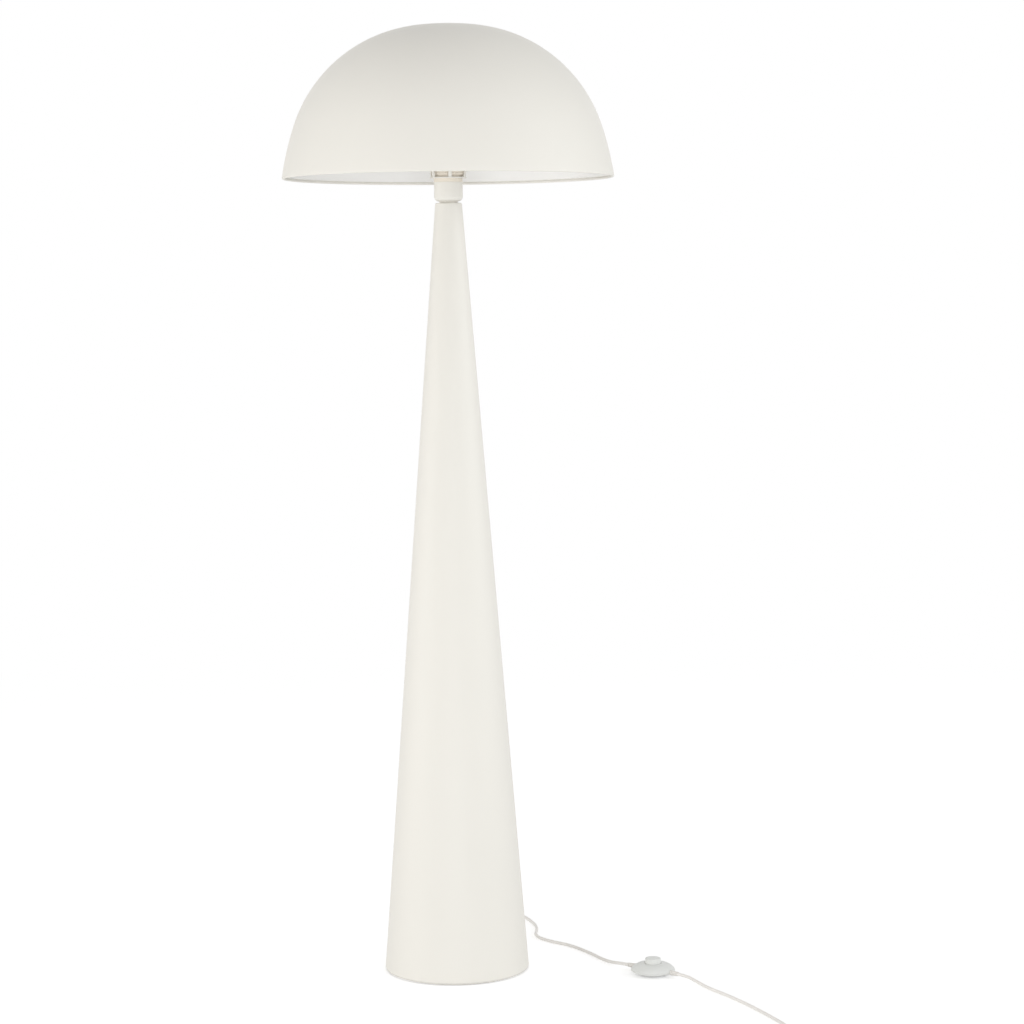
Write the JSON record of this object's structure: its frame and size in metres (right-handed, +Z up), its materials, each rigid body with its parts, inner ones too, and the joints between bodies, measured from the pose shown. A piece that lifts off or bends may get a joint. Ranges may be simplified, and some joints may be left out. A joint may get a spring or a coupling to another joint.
{
  "type": "floor lamp",
  "caption": "Mushroom-shaped floor lamp: a slim tapered column under a half-dome metal shade, with a cord, a round foot switch and a flat plug.",
  "frame": {"origin": "centre of the column's base, on the floor", "axes": "+Z up along the lamp's axis, the cord leaves the base towards +Y and its switch lies towards +X"},
  "size_m": [0.7676, 0.8872, 1.5],
  "materials": {
    "felt": "felt",
    "iron": "rough",
    "zinc": "satin",
    "lamp_paint": "satin",
    "holder_plastic": "matte",
    "core_plastic": "matte",
    "brass": "satin",
    "opal": "satin",
    "cap_metal": "satin",
    "black_glass": "gloss",
    "switch_plastic": "gloss",
    "relay_plastic": "matte",
    "cord_jacket": "matte",
    "soft_grip": "matte",
    "dark_rubber": "matte",
    "plug_plastic": "satin",
    "pin_metal": "polished",
    "sleeve_black": "matte",
    "spring_steel": "satin"
  },
  "bodies": {
    "lamp": {"base_pad": "felt", "ballast": "iron", "clamp_washer": "zinc", "pipe_nuts": "zinc", "lamp_pipe": "zinc", "column_shell": "lamp_paint", "cord_bush": "soft_grip", "cord_inner": "cord_jacket", "neck_washer": "lamp_paint", "holder_cup": "lamp_paint", "holder_core": "core_plastic", "holder_skirt": "holder_plastic", "screw_shell": "brass", "centre_contact": "brass", "terminal_screws": "brass", "shade_ring": "holder_plastic", "shade_carrier": "lamp_paint", "shade_studs": "lamp_paint", "shade_nuts": "zinc", "shade_dome": "lamp_paint", "switch_pad": "dark_rubber", "switch_base": "switch_plastic", "switch_cover": "switch_plastic", "switch_reliefs": "soft_grip", "switch_screws": "zinc", "switch_core": "relay_plastic", "switch_contacts": "brass", "button_spring": "spring_steel", "cord_to_switch": "cord_jacket", "cord_to_plug": "cord_jacket", "cord_coil": "cord_jacket", "cord_tail": "cord_jacket", "plug_body": "plug_plastic", "plug_pins": "pin_metal", "plug_sleeves": "sleeve_black", "plug_relief": "plug_plastic"},
    "bulb": {"bulb_contact": "cap_metal", "bulb_insulator": "black_glass", "bulb_cap": "cap_metal", "bulb_glass": "opal"},
    "button": {"foot_button": "switch_plastic"}
  },
  "joints": [
    {"name": "bulb_lift", "type": "slide", "parent": "lamp", "child": "bulb", "axis": [0, 0, 1], "range_m": [0, 0.024]},
    {"name": "button_press", "type": "slide", "parent": "lamp", "child": "button", "axis": [0, 0, -1], "range_m": [0, 0.004], "stiffness_N_per_m": 1500, "springref_m": -0.002, "deforming": ["button_spring"]}
  ]
}
